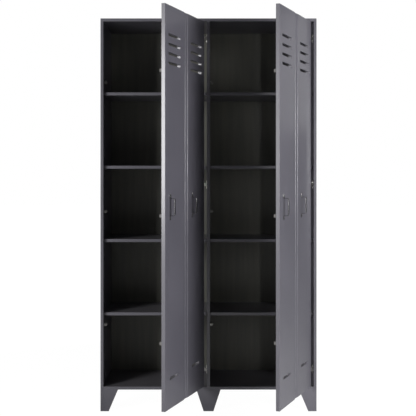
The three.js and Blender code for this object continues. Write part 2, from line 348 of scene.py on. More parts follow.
# thin foil-faced hardboard with an upright grain; the olive cast of its tone is painted shade, the warm tint that
# the shadowed interior takes
backGrainAndShadeTintLook = dict(
    paintLook,
    dark=(0.058, 0.058, 0.049, 1.0),
    light=(0.083, 0.082, 0.067, 1.0),
    stretch=(1.0, 1.0, 0.06),
    patchScale=38.0,
    grainScale=420.0,
    roughness=(0.46, 0.58),
    dust=0.05,
    coat=0.0,
)
handleLook = dict(
    paintLook,
    dark=(0.009, 0.009, 0.010, 1.0),
    light=(0.016, 0.016, 0.018, 1.0),
    rubbed=(0.16, 0.155, 0.15, 1.0),
    rub=0.5,
    rubScale=220.0,
    dust=0.03,
    patchScale=25.0,
    grainScale=1400.0,
    roughness=(0.18, 0.24),
    ior=2.0,
    coat=0.0,
)
nickelLook = dict(
    paintLook,
    dark=(0.44, 0.43, 0.41, 1.0),
    light=(0.60, 0.59, 0.565, 1.0),
    rubbed=(0.72, 0.71, 0.69, 1.0),
    rub=0.6,
    rubScale=300.0,
    dust=0.03,
    stretch=(1.0, 1.0, 0.15),
    patchScale=120.0,
    grainScale=2200.0,
    roughness=(0.24, 0.36),
    bump=0.08,
    metallic=1.0,
    coat=0.0,
)
# the strikes are dull zinc plate
zincLook = dict(
    nickelLook,
    dark=(0.10, 0.096, 0.094, 1.0),
    light=(0.15, 0.145, 0.14, 1.0),
    rubbed=(0.22, 0.21, 0.20, 1.0),
    roughness=(0.6, 0.7),
    metallic=0.2,
    stretch=(1.0, 1.0, 1.0),
)
plasticLook = dict(
    paintLook,
    dark=(0.050, 0.049, 0.047, 1.0),
    light=(0.074, 0.073, 0.070, 1.0),
    rubbed=(0.13, 0.13, 0.125, 1.0),
    rub=0.3,
    rubScale=240.0,
    patchScale=60.0,
    grainScale=1800.0,
    roughness=(0.42, 0.52),
    bump=0.2,
    coat=0.0,
)
boardPaint = makeFinish("board_paint", paintLook)
# the back panels' finish carries painted shade: its olive cast stands in for the tint of the shadowed interior
backFoilWithShadeTint = makeFinish("back_panel_foil", backGrainAndShadeTintLook)
handleBlack = makeFinish("handle_black_steel", handleLook)
nickel = makeFinish("nickel_plated_steel", nickelLook)
greyPlastic = makeFinish("catch_grey_plastic", plasticLook)
zinc = makeFinish("dull_zinc_plate", zincLook)
print("finishes made")


# fasteners, placed by a geometry tree on points that carry the way they face

turnedSides = 20  # round a screw head, pin or collar
randomMax, randomSeed, randomValue = 3, 8, 1  # the sockets of a random float


def makeScrewTree():
    tree, given, out = startTree(
        "crossHeadScrews", "GeometryNodeTree",
        {
            "Geometry": (shapeKind, None),
            "Head Radius": (floatKind, 3 * mm),
            "Head Height": (floatKind, 2 * mm),
            "Crown Share": (floatKind, 0.6),
            "Recess Length": (floatKind, 3.4 * mm),
            "Recess Width": (floatKind, 0.8 * mm),
            "Recess Depth": (floatKind, 1.2 * mm),
            "Seed": (wholeKind, 4),
            "Finish": (finishKind, None),
        },
        {"Geometry": shapeKind},
    )
    crown = maths(tree, "MULTIPLY", given["Head Radius"], given["Crown Share"])
    head = addNode(
        tree, "GeometryNodeMeshCone",
        {
            "Vertices": turnedSides, "Radius Top": crown,
            "Radius Bottom": given["Head Radius"], "Depth": given["Head Height"],
        },
    ).outputs["Mesh"]
    deep = maths(tree, "MULTIPLY", given["Recess Depth"], 2.0)
    level = vectorOf(tree, z=given["Head Height"])
    bars = []
    for across in (False, True):
        length, width = given["Recess Length"], given["Recess Width"]
        size = vectorOf(tree, width if across else length, length if across else width, deep)
        bar = addNode(tree, "GeometryNodeMeshCube", {"Size": size}).outputs["Mesh"]
        bars.append(
            addNode(tree, "GeometryNodeTransform", {"Geometry": bar, "Translation": level}).outputs[0]
        )
    cut = addNode(
        tree, "GeometryNodeMeshBoolean", {"Mesh 1": head, "Mesh 2": bars},
        operation="DIFFERENCE", solver="EXACT",
    ).outputs["Mesh"]
    finishInstances(tree, given, out, cut)
    return tree


def finishInstances(tree, given, out, shape):
    facing = addNode(
        tree, "GeometryNodeInputNamedAttribute", {"Name": "facing"}, data_type="FLOAT_VECTOR"
    ).outputs["Attribute"]
    aim = addNode(tree, "FunctionNodeAlignRotationToVector", {"Vector": facing}, axis="Z").outputs[0]
    spin = addNode(
        tree, "FunctionNodeRandomValue", {randomMax: math.pi, randomSeed: given["Seed"]},
        data_type="FLOAT",
    ).outputs[randomValue]
    turn = addNode(tree, "FunctionNodeAxisAngleToRotation", {"Angle": spin}).outputs[0]
    rotation = addNode(
        tree, "FunctionNodeRotateRotation", {"Rotation": aim, "Rotate By": turn},
        rotation_space="LOCAL",
    ).outputs[0]
    placed = addNode(
        tree, "GeometryNodeInstanceOnPoints",
        {"Points": given["Geometry"], "Instance": shape, "Rotation": rotation},
    ).outputs[0]
    real = addNode(tree, "GeometryNodeRealizeInstances", {"Geometry": placed}).outputs[0]
    finished = addNode(
        tree, "GeometryNodeSetMaterial", {"Geometry": real, "Material": given["Finish"]}
    ).outputs[0]
    tree.links.new(finished, out.inputs["Geometry"])


def makePinTree():
    tree, given, out = startTree(
        "collaredPins", "GeometryNodeTree",
        {
            "Geometry": (shapeKind, None),
            "Pin Radius": (floatKind, 2.5 * mm),
            "Pin Length": (floatKind, 9 * mm),
            "Tip Share": (floatKind, 0.82),
            "Collar Radius": (floatKind, 3.6 * mm),
            "Collar Height": (floatKind, 1 * mm),
            "Seed": (wholeKind, 7),
            "Finish": (finishKind, None),
        },
        {"Geometry": shapeKind},
    )
    tip = maths(tree, "MULTIPLY", given["Pin Radius"], given["Tip Share"])
    pin = addNode(
        tree, "GeometryNodeMeshCone",
        {
            "Vertices": turnedSides, "Radius Top": tip,
            "Radius Bottom": given["Pin Radius"], "Depth": given["Pin Length"],
        },
    ).outputs["Mesh"]
    collar = addNode(
        tree, "GeometryNodeMeshCone",
        {
            "Vertices": turnedSides, "Radius Top": given["Pin Radius"],
            "Radius Bottom": given["Collar Radius"], "Depth": given["Collar Height"],
        },
    ).outputs["Mesh"]
    both = addNode(
        tree, "GeometryNodeMeshBoolean", {"Mesh 2": [pin, collar]}, operation="UNION", solver="EXACT"
    ).outputs["Mesh"]
    finishInstances(tree, given, out, both)
    return tree


screwTree, pinTree = makeScrewTree(), makePinTree()


def pointsMesh(name, places):
    # places are pairs: a point and the way its fastener faces
    mesh = plainMesh(name, [point for point, facing in places], [])
    facings = mesh.attributes.new("facing", "FLOAT_VECTOR", "POINT")
    facings.data.foreach_set("vector", [value for point, facing in places for value in facing])
    return mesh


def setFasteners(name, tree, places, sizes, material, body):
    values = dict(sizes, Finish=material)
    mesh = runTree(name, pointsMesh(name + "_points", places), tree, values)
    for polygon in mesh.polygons:
        polygon.use_smooth = False
    return setPiece(name, mesh, material, body)


# carcass boards

boardSizes = {
    "edgeRadius": 0.9 * mm,
    "backEdgeRadius": 0.4 * mm,
    "backInset": 0.6 * mm,  # the screw heads stand this proud of the back panels
    "rearWithin": 1 * mm,  # corners this close to the rear face move with it
}


def carcassNodes():
    words = ("panel", "partition", "shelf", "foot")
    return [node for node in groups["cabinet"] if any(word in node for word in words)]


def makeCarcass():
    for node in carcassNodes():
        isBack = "back_panel" in node
        mesh = copyOfNode(node)
        if isBack:
            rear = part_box(node)[1].y
            for vertex in mesh.vertices:
                if vertex.co.y > rear - boardSizes["rearWithin"]:
                    vertex.co.y -= boardSizes["backInset"]
        easeEdges(mesh, boardSizes["backEdgeRadius" if isBack else "edgeRadius"])
        finish = backFoilWithShadeTint if isBack else boardPaint
        name = node.replace("_panel", "") + "_board"
        setPiece(name, mesh, finish, "cabinet", [node])


makeCarcass()
print("carcass boards made")


# doors, drawn shut in their own frame: x from the hinge edge to the left, y inwards, z up

doorSizes = {
    "gap": 3 * mm,
    "thickness": 18 * mm,
    "grooveWidth": 52 * mm,
    "grooveDepth": 4.5 * mm,
    "grooveStep": 1.2 * mm,  # the two small steps on its hinge side
    "edgeRadius": 0.9 * mm,
    "slotEdgeRadius": 0.5 * mm,
    "slotCorner": 2.5 * mm,
    "louvres": 4,
    "louvreLength": 150 * mm,
    "louvreHeight": 13 * mm,
    "louvrePitch": 43.3 * mm,
    "louvreFromTop": 136 * mm,
    "ticketLength": 100 * mm,
    "ticketHeight": 12.5 * mm,
    "ticketFromLeafEdge": 58 * mm,
    "ticketFromBottom": 139 * mm,
    "holeRadius": 4.5 * mm,
    "holeFromTicket": 15 * mm,
    "cupFromEdge": 22.5 * mm,
    "boreRadius": 17.5 * mm,
    "boreDepth": 12.5 * mm,
    "cutThrough": 30 * mm,
}
cutterSides = 48
cornerSteps = 5
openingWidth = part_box("centre_partition")[0].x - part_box("left_side_panel")[1].x
doorWidth = openingWidth - 2 * doorSizes["gap"]
doorLow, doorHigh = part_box("left_door")
doorHeight = doorHigh.z - doorLow.z
leafWidth = (doorWidth - doorSizes["grooveWidth"]) / 2
leafStarts = {"left": -doorWidth, "right": -leafWidth}
leafStep = doorWidth - leafWidth


def doorMatrix(side):
    # from a shut door's own frame to where the door stands at rest
    joint = jointNamed[side + "_door_hinge"]
    axis = Vector(joint["pos_m"])
    openBy = math.radians(-joint["range_deg"][0])
    toAxis = Matrix.Translation((axis.x, axis.y, doorLow.z))
    return toAxis @ Matrix.Rotation(openBy, 4, "Z") @ Matrix.Translation((0, frontY - axis.y, 0))


def cupHeights(side):
    found = []
    for i in fittingNumbers:
        low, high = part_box(f"{side}_hinge_cup_{i}")
        found.append((low.z + high.z) / 2 - doorLow.z)
    return found


def makeDoorTree():
    tree, given, out = startTree(
        "lockerDoorCuts", "GeometryNodeTree",
        {
            "Geometry": (shapeKind, None),
            "Through": (floatKind, doorSizes["cutThrough"]),
            "Slot Corner": (floatKind, doorSizes["slotCorner"]),
            "Leaf Step": (floatKind, leafStep),
            "Louvre Count": (wholeKind, doorSizes["louvres"]),
            "Louvre Length": (floatKind, doorSizes["louvreLength"]),
            "Louvre Height": (floatKind, doorSizes["louvreHeight"]),
            "Louvre Pitch": (floatKind, doorSizes["louvrePitch"]),
            "First Louvre": (vectorKind, None),
            "Ticket Length": (floatKind, doorSizes["ticketLength"]),
            "Ticket Height": (floatKind, doorSizes["ticketHeight"]),
            "Ticket Place": (vectorKind, None),
            "Hole Radius": (floatKind, doorSizes["holeRadius"]),
            "Hole Place": (vectorKind, None),
            "Bore Radius": (floatKind, doorSizes["boreRadius"]),
            "Bore Depth": (floatKind, 2 * doorSizes["boreDepth"]),
            "Bore Place 1": (vectorKind, None),
            "Bore Place 2": (vectorKind, None),
            "Bore Place 3": (vectorKind, None),
            "Finish": (finishKind, None),
        },
        {"Geometry": shapeKind},
    )
    quarterTurn = (math.pi / 2, 0.0, 0.0)

    def slotCutter(length, height):
        # a bar with rounded corners, lying along X and running through along Y
        section = addNode(
            tree, "GeometryNodeCurvePrimitiveQuadrilateral", {"Width": length, "Height": height}
        ).outputs[0]
        rounded = addNode(
            tree, "GeometryNodeFilletCurve",
            {"Curve": section, "Radius": given["Slot Corner"], "Count": cornerSteps}, mode="POLY",
        )
        half = maths(tree, "MULTIPLY", given["Through"], 0.5)
        back = maths(tree, "MULTIPLY", half, -1.0)
        path = addNode(
            tree, "GeometryNodeCurvePrimitiveLine",
            {"Start": vectorOf(tree, z=back), "End": vectorOf(tree, z=half)},
        ).outputs[0]
        bar = addNode(
            tree, "GeometryNodeCurveToMesh",
            {"Curve": path, "Profile Curve": rounded.outputs[0], "Fill Caps": True},
        ).outputs[0]
        return addNode(
            tree, "GeometryNodeTransform", {"Geometry": bar, "Rotation": quarterTurn}
        ).outputs[0]

    def roundCutter(radius, depth, place):
        bar = addNode(
            tree, "GeometryNodeMeshCylinder",
            {"Vertices": cutterSides, "Radius": radius, "Depth": depth},
        ).outputs["Mesh"]
        return addNode(
            tree, "GeometryNodeTransform",
            {"Geometry": bar, "Rotation": quarterTurn, "Translation": place},
        ).outputs[0]

    down = vectorOf(tree, z=maths(tree, "MULTIPLY", given["Louvre Pitch"], -1.0))
    row = addNode(
        tree, "GeometryNodeMeshLine",
        {"Count": given["Louvre Count"], "Start Location": given["First Louvre"], "Offset": down},
    ).outputs[0]
    louvre = slotCutter(given["Louvre Length"], given["Louvre Height"])
    louvres = addNode(
        tree, "GeometryNodeInstanceOnPoints", {"Points": row, "Instance": louvre}
    ).outputs[0]
    ticket = addNode(
        tree, "GeometryNodeTransform",
        {
            "Geometry": slotCutter(given["Ticket Length"], given["Ticket Height"]),
            "Translation": given["Ticket Place"],
        },
    ).outputs[0]
    hole = roundCutter(given["Hole Radius"], given["Through"], given["Hole Place"])
    leaf = addNode(tree, "GeometryNodeJoinGeometry", {0: [louvres, ticket, hole]}).outputs[0]
    leaves = addNode(
        tree, "GeometryNodeMeshLine", {"Count": 2, "Offset": vectorOf(tree, x=given["Leaf Step"])}
    ).outputs[0]
    both = addNode(
        tree, "GeometryNodeInstanceOnPoints", {"Points": leaves, "Instance": leaf}
    ).outputs[0]
    cutters = [addNode(tree, "GeometryNodeRealizeInstances", {"Geometry": both}).outputs[0]]
    for i in fittingNumbers:
        bore = roundCutter(given["Bore Radius"], given["Bore Depth"], given[f"Bore Place {i}"])
        cutters.append(bore)
    cut = addNode(
        tree, "GeometryNodeMeshBoolean", {"Mesh 1": given["Geometry"], "Mesh 2": cutters},
        operation="DIFFERENCE", solver="EXACT",
    ).outputs["Mesh"]
    real = addNode(tree, "GeometryNodeRealizeInstances", {"Geometry": cut}).outputs[0]
    finished = addNode(
        tree, "GeometryNodeSetMaterial", {"Geometry": real, "Material": given["Finish"]}
    ).outputs[0]
    tree.links.new(finished, out.inputs["Geometry"])
    return tree


def doorSlab():
    # the plan section, grooved down the middle of its outer face, raised to the door's height
    deep, groove, step = doorSizes["thickness"], doorSizes["grooveWidth"], doorSizes["grooveStep"]
    valley = -leafWidth - groove / 2
    plan = [
        (0, 0), (0, deep), (-doorWidth, deep), (-doorWidth, 0), (-leafWidth - groove, 0),
        (valley, doorSizes["grooveDepth"]), (valley + step, doorSizes["grooveDepth"] - step),
        (-leafWidth - step, step), (-leafWidth, 0),
    ]
    count = len(plan)
    points = [(x, y, z) for z in (0, doorHeight) for x, y in plan]
    faces = [list(range(count)), list(range(2 * count - 1, count - 1, -1))]
    faces += [[i, (i + 1) % count, (i + 1) % count + count, i + count] for i in range(count)]
    return plainMesh("door_slab", points, faces)


def makeDoors():
    tree = makeDoorTree()
    sizes = doorSizes
    halfThick = sizes["thickness"] / 2
    ticketMiddle = -doorWidth + sizes["ticketFromLeafEdge"] + sizes["ticketLength"] / 2
    holeMiddle = ticketMiddle + sizes["ticketLength"] / 2 + sizes["holeFromTicket"]
    ticketUp = sizes["ticketFromBottom"]
    louvresUp = doorHeight - sizes["louvreFromTop"]
    for side in sides:
        values = {
            "Slot Corner": sizes["slotCorner"],
            "Leaf Step": leafStep,
            "Louvre Count": sizes["louvres"],
            "Louvre Length": sizes["louvreLength"],
            "Louvre Height": sizes["louvreHeight"],
            "Louvre Pitch": sizes["louvrePitch"],
            "First Louvre": (-doorWidth + leafWidth / 2, halfThick, louvresUp),
            "Ticket Length": sizes["ticketLength"],
            "Ticket Height": sizes["ticketHeight"],
            "Ticket Place": (ticketMiddle, halfThick, ticketUp),
            "Hole Radius": sizes["holeRadius"],
            "Hole Place": (holeMiddle, halfThick, ticketUp),
            "Bore Radius": sizes["boreRadius"],
            "Bore Depth": 2 * sizes["boreDepth"],
            "Finish": boardPaint,
        }
        for i, height in enumerate(cupHeights(side), 1):
            values[f"Bore Place {i}"] = (-sizes["cupFromEdge"], sizes["thickness"], height)
        mesh = runTree(side + "_door_leaf", doorSlab(), tree, values)
        easeEdges(mesh, sizes["slotEdgeRadius"], segments=2)
        mesh.transform(doorMatrix(side))
        door = side + "_door"
        setPiece(door + "_leaves", mesh, boardPaint, door, [door])


makeDoors()
print("doors made")


# bow handles bent from strip

handleSizes = {
    "grip": 80 * mm,
    "tab": 20 * mm,
    "reach": 25 * mm,
    "width": 13 * mm,
    "thickness": 2.5 * mm,
    "bend": 7 * mm,
    "bendSteps": 8,
    "fromLeafEdge": 60 * mm,
    "standOff": 0.3 * mm,
    "edgeRadius": 1.15 * mm,
    "screwPastMiddle": 1 * mm,  # further from the grip than the tab's middle
    "screw": {
        "Head Radius": 3.4 * mm, "Head Height": 1.9 * mm,
        "Recess Length": 3.8 * mm, "Recess Width": 0.9 * mm, "Recess Depth": 1.2 * mm,
    },
}


def handleLine():
    # the strip's middle line as (distance from the door, height), filleted at its four bends
    half = handleSizes["thickness"] / 2
    near, far = half, handleSizes["reach"] - half
    top = handleSizes["grip"] / 2
    end = top + handleSizes["tab"]
    places = ((near, -end), (near, -top), (far, -top), (far, top), (near, top), (near, end))
    corners = [Vector(place) for place in places]
    line = [corners[0]]
    for before, corner, after in zip(corners, corners[1:], corners[2:]):
        toStart = (before - corner).normalized() * handleSizes["bend"]
        toEnd = (after - corner).normalized() * handleSizes["bend"]
        for i in range(handleSizes["bendSteps"] + 1):
            turn = i / handleSizes["bendSteps"] * math.pi / 2
            line.append(corner + toStart * (1 - math.sin(turn)) + toEnd * (1 - math.cos(turn)))
    return line + [corners[-1]]


def stripMesh(name, line, width, thickness):
    # a flat strip along a line in the (out, up) plane, its width along the door
    points, faces = [], []
    for i, point in enumerate(line):
        along = (line[min(i + 1, len(line) - 1)] - line[max(i - 1, 0)]).normalized()
        aside = Vector((-along.y, along.x)) * thickness / 2
        for across, offset in ((-0.5, aside), (0.5, aside), (0.5, -aside), (-0.5, -aside)):
            out, up = point + offset
            points.append((across * width, -out, up))
    for i in range(len(line) - 1):
        a, b = 4 * i, 4 * i + 4
        faces += [[a + j, a + (j + 1) % 4, b + (j + 1) % 4, b + j] for j in range(4)]
    faces += [[3, 2, 1, 0], [len(points) - 4 + j for j in range(4)]]
    return plainMesh(name, points, faces)


def makeHandles():
    sizes = handleSizes
    screwUp = sizes["grip"] / 2 + sizes["tab"] / 2 + sizes["screwPastMiddle"]
    for side in sides:
        toRest = doorMatrix(side)
        outward = toRest.to_3x3() @ Vector((0, -1, 0))
        places = []
        for leaf, start in leafStarts.items():
            mesh = stripMesh("handle_strip", handleLine(), sizes["width"], sizes["thickness"])
            easeEdges(mesh, sizes["edgeRadius"], segments=4, sharpFrom=60)
            middle = Vector((start + sizes["fromLeafEdge"], -sizes["standOff"], doorHeight / 2))
            mesh.transform(toRest @ Matrix.Translation(middle))
            node = f"{side}_door_{leaf}_handle"
            setPiece(node + "_bow", mesh, handleBlack, side + "_door", [node])
            for up in (-screwUp, screwUp):
                place = middle + Vector((0, -sizes["thickness"], up))
                places.append((toRest @ place, outward))
        setFasteners(
            side + "_handle_screws", screwTree, places, sizes["screw"],
            handleBlack, side + "_door",
        )


makeHandles()
print("handles made")


# concealed hinges: cup in the door, plate and arm on the wall, links between them

hingeSizes = {
    "cupRadius": 17.2 * mm,
    "cupWall": 1.2 * mm,
    "cupFloor": 12.2 * mm,
    "floorEase": 2.5 * mm,
    "outerEaseShare": 0.3,
    "innerEaseShare": 0.7,
    "flangeEdge": 0.4 * mm,
    "rimEase": 0.7 * mm,
    "flangePastCup": 1 * mm,
    "flangeLength": 62 * mm,
    "flangeWidth": 20 * mm,
    "flangeTop": 1.5 * mm,
    "flangeUnder": 0.3 * mm,
    "cupScrewFromMiddle": 24 * mm,
    "plateLength": 46 * mm,
    "plateWidth": 12 * mm,
    "wingLength": 46 * mm,
    "wingWidth": 11 * mm,
    "plateThickness": 2.5 * mm,
    "plateEdge": 0.5 * mm,
    "ribLength": 34 * mm,
    "ribWidth": 8 * mm,
    "ribHeight": 7 * mm,
    "wingScrewFromMiddle": 16 * mm,
    "armScrewPlaces": (0.42, 0.80),
    "pinUnderFace": 2 * mm,
    "pinFromArmSide": 3.5 * mm,
    "pinFromArmTip": 3 * mm,
    "linkWidth": 11 * mm,
    "linkThickness": 1.6 * mm,
    "linkSteps": 14,
    "edgeRadius": 0.4 * mm,
    "screw": {
        "Head Radius": 3.6 * mm, "Head Height": 1.5 * mm,
        "Recess Length": 4.2 * mm, "Recess Width": 1 * mm, "Recess Depth": 1 * mm,
    },
    "armScrew": {
        "Head Radius": 3 * mm, "Head Height": 1.6 * mm,
        "Recess Length": 3.6 * mm, "Recess Width": 0.9 * mm, "Recess Depth": 1 * mm,
    },
    "pin": {
        "Pin Radius": 1.6 * mm, "Pin Length": 13 * mm,
        "Collar Radius": 2.6 * mm, "Collar Height": 0.8 * mm,
    },
}
roundSteps = 64
levelFacing = 0.9  # a face that looks this much along the axis stays flat


def stadiumReach(angle, length, width):
    # how far a round-ended bar's outline lies from its middle; angle 0 points along its length
    radius = width / 2
    straight = length / 2 - radius
    along, across = abs(math.cos(angle)), abs(math.sin(angle))
    if across * straight > radius * along:
        return radius / across
    return straight * along + math.sqrt(max(radius ** 2 - (straight * across) ** 2, 0))


def ringShell(name, rings):
    # closed shell of rings round one axis; a ring is (reach as a function of angle, height)
    points, faces = [], []
    for reach, height in rings:
        for i in range(roundSteps):
            angle = 2 * math.pi * i / roundSteps
            r = reach(angle)
            points.append((r * math.sin(angle), height, r * math.cos(angle)))
    for k in range(len(rings) - 1):
        for i in range(roundSteps):
            j = (i + 1) % roundSteps
            a, b = k * roundSteps, (k + 1) * roundSteps
            faces.append([a + i, a + j, b + j, b + i])
    last = (len(rings) - 1) * roundSteps
    faces.append(list(range(roundSteps)))
    faces.append([last + i for i in reversed(range(roundSteps))])
    mesh = plainMesh(name, points, faces)
    shape = bmesh.new()
    shape.from_mesh(mesh)
    bmesh.ops.recalc_face_normals(shape, faces=shape.faces)
    for face in shape.faces:
        face.smooth = len(face.verts) == 4 and abs(face.normal.y) < levelFacing
    shape.to_mesh(mesh)
    shape.free()
    return mesh


def cupMesh():
    sizes = hingeSizes
    radius, floor, skin = sizes["cupRadius"], sizes["cupFloor"], sizes["cupWall"]
    inner = radius - skin
    ease, rim, top = sizes["floorEase"], sizes["rimEase"], sizes["flangeTop"]
    low = ease * sizes["outerEaseShare"]

    def flange(angle):
        bar = stadiumReach(angle, sizes["flangeLength"], sizes["flangeWidth"])
        return max(radius + sizes["flangePastCup"], bar)

    def shrunk(angle):
        return flange(angle) - sizes["flangeEdge"]

    def circle(r):
        return lambda angle: r

    rings = [
        (circle(radius - ease), -floor), (circle(radius - low), -floor + low),
        (circle(radius), -floor + ease), (circle(radius), sizes["flangeUnder"]),
        (flange, sizes["flangeUnder"]), (flange, top - sizes["flangeEdge"]),
        (shrunk, top), (circle(inner + rim), top),
        (circle(inner), top - rim), (circle(inner), -floor + ease + skin),
        (circle(inner - ease * sizes["innerEaseShare"]), -floor + skin),
    ]
    return ringShell("hinge_cup", rings)


def plateMesh():
    sizes = hingeSizes

    def outline(angle):
        bar = stadiumReach(angle + math.pi / 2, sizes["plateLength"], sizes["plateWidth"])
        return max(bar, stadiumReach(angle, sizes["wingLength"], sizes["wingWidth"]))

    def shrunk(angle):
        return outline(angle) - sizes["plateEdge"]

    top = sizes["plateThickness"]
    return ringShell("plate", [(outline, 0), (outline, top - sizes["plateEdge"]), (shrunk, top)])


def boxMesh(low, high):
    across, deep, tall = zip(low, high)
    points = [(x, y, z) for x in across for y in deep for z in tall]
    faces = [[0, 1, 3, 2], [4, 6, 7, 5], [0, 4, 5, 1], [2, 3, 7, 6], [0, 2, 6, 4], [1, 5, 7, 3]]
    return plainMesh("box", points, faces)


def makeCups(side):
    sizes = hingeSizes
    toRest = doorMatrix(side)
    inward = toRest.to_3x3() @ Vector((0, 1, 0))
    screws, pins = [], []
    for i, height in enumerate(cupHeights(side), 1):
        middle = Vector((-doorSizes["cupFromEdge"], doorSizes["thickness"], height))
        mesh = cupMesh()
        mesh.transform(toRest @ Matrix.Translation(middle))
        node = f"{side}_hinge_cup_{i}"
        setPiece(node + "_drawn", mesh, nickel, side + "_door", [node])
        for up in (-sizes["cupScrewFromMiddle"], sizes["cupScrewFromMiddle"]):
            place = middle + Vector((0, sizes["flangeTop"], up))
            screws.append((toRest @ place, inward))
        pinPlace = middle + Vector((0, -sizes["pinUnderFace"], -sizes["pin"]["Pin Length"] / 2))
        pins.append((toRest @ pinPlace, Vector((0, 0, 1))))
    body, slotName = side + "_door", "fitting_steel"
    setFasteners(side + "_hinge_cup_screws", screwTree, screws, sizes["screw"], nickel, body)
    setFasteners(side + "_hinge_cup_pins", pinTree, pins, sizes["pin"], nickel, body)


def armTip(side, number):
    # where the arm's pin stands, at floor level
    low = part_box(f"{side}_hinge_arm_{number}")[0]
    return Vector((low.x + hingeSizes["pinFromArmSide"], low.y + hingeSizes["pinFromArmTip"], 0))


def makePlates(side):
    # plates and arms stand on the wall to the right of the opening and reach to its left
    sizes = hingeSizes
    screws, armScrews, pins = [], [], []
    leftward = Vector((-1, 0, 0))
    for i in fittingNumbers:
        node = f"{side}_hinge_plate_{i}"
        low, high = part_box(node)
        middle = Vector((high.x, (low.y + high.y) / 2, (low.z + high.z) / 2))
        toWall = Matrix.Translation(middle) @ Matrix.Rotation(math.pi / 2, 4, "Z")
        ribHalf = Vector((sizes["ribLength"] / 2, 0, sizes["ribWidth"] / 2))
        rib = boxMesh((-ribHalf.x, 0, -ribHalf.z), (ribHalf.x, sizes["ribHeight"], ribHalf.z))
        easeEdges(rib, sizes["edgeRadius"])
        plate = plateMesh()
        mesh = joinMeshes(node + "_pressed", [plate, rib])
        mesh.transform(toWall)
        setPiece(node + "_pressed", mesh, nickel, "cabinet", [node])
        for up in (-sizes["wingScrewFromMiddle"], sizes["wingScrewFromMiddle"]):
            screws.append((middle + Vector((-sizes["plateThickness"], 0, up)), leftward))
        arm = f"{side}_hinge_arm_{i}"
        armLow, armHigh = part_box(arm)
        channel = easeEdges(copyOfNode(arm), sizes["edgeRadius"], segments=2)
        setPiece(arm + "_channel", channel, nickel, "cabinet", [arm])
        for share in sizes["armScrewPlaces"]:
            y = armLow.y + (armHigh.y - armLow.y) * share
            armScrews.append((Vector((armLow.x, y, middle.z)), leftward))
        tip = armTip(side, i)
        tip.z = middle.z - sizes["pin"]["Pin Length"] / 2
        pins.append((tip, Vector((0, 0, 1))))
    for label, tree, places, shape in (
        ("plate_screws", screwTree, screws, sizes["screw"]),
        ("arm_screws", screwTree, armScrews, sizes["armScrew"]),
        ("arm_pins", pinTree, pins, sizes["pin"]),
    ):
        setFasteners(f"{side}_hinge_{label}", tree, places, shape, nickel, "cabinet")


def makeLinks(side):
    # a gooseneck link curves round the door's edge from the arm's tip into the cup
    sizes = hingeSizes
    axis = Vector(jointNamed[side + "_door_hinge"]["pos_m"])
    toRest = doorMatrix(side)
    for i, height in enumerate(cupHeights(side), 1):
        tip = armTip(side, i)
        pinDepth = doorSizes["thickness"] - sizes["pinUnderFace"]
        cup = toRest @ Vector((-doorSizes["cupFromEdge"], pinDepth, height))
        fromTip = Vector((tip.x - axis.x, tip.y - axis.y))
        fromCup = Vector((cup.x - axis.x, cup.y - axis.y))
        first = math.atan2(fromTip.y, fromTip.x)
        last = math.atan2(fromCup.y, fromCup.x) % (2 * math.pi)
        points, faces = [], []
        for k in range(sizes["linkSteps"] + 1):
            share = k / sizes["linkSteps"]
            angle = first + (last - first) * share
            reach = fromTip.length + (fromCup.length - fromTip.length) * share
            for across, offset in ((-0.5, 0.5), (0.5, 0.5), (0.5, -0.5), (-0.5, -0.5)):
                r = reach + offset * sizes["linkThickness"]
                z = cup.z + across * sizes["linkWidth"]
                points.append((axis.x + r * math.cos(angle), axis.y + r * math.sin(angle), z))
        for k in range(sizes["linkSteps"]):
            a, b = 4 * k, 4 * k + 4
            faces += [[a + j, a + (j + 1) % 4, b + (j + 1) % 4, b + j] for j in range(4)]
        faces += [[3, 2, 1, 0], [len(points) - 4 + j for j in range(4)]]
        mesh = plainMesh("link", points, faces)
        easeEdges(mesh, sizes["edgeRadius"], segments=2, sharpFrom=60)
        mesh.materials.append(nickel)
        link = linkNew(f"{side}_hinge_link_{i}", mesh)
        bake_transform(link)


for side in sides:
    makeCups(side)
    makePlates(side)
    makeLinks(side)
print("hinges made")


# magnetic catches: a block with two steel poles on the wall, a pressed strike on the door

catchSizes = {
    "bodyEdge": 1.2 * mm,
    "strikeEdge": 0.5 * mm,
    "poleThickness": 2 * mm,
    "poleHeightShare": 0.8,
    "poleShares": (0.3, 0.7),  # across the case
    "poleReach": 0.5 * mm,
    "poleDepth": 2 * mm,
    "poleEdge": 0.2 * mm,
    "screwShares": (0.35, 0.75),  # along the case
    "strikeScrewFromEdge": 20.5 * mm,
    "strikeScrewStandOff": 1.8 * mm,
    "screw": {
        "Head Radius": 3 * mm, "Head Height": 1.4 * mm,
        "Recess Length": 3.4 * mm, "Recess Width": 0.8 * mm, "Recess Depth": 0.9 * mm,
    },
}


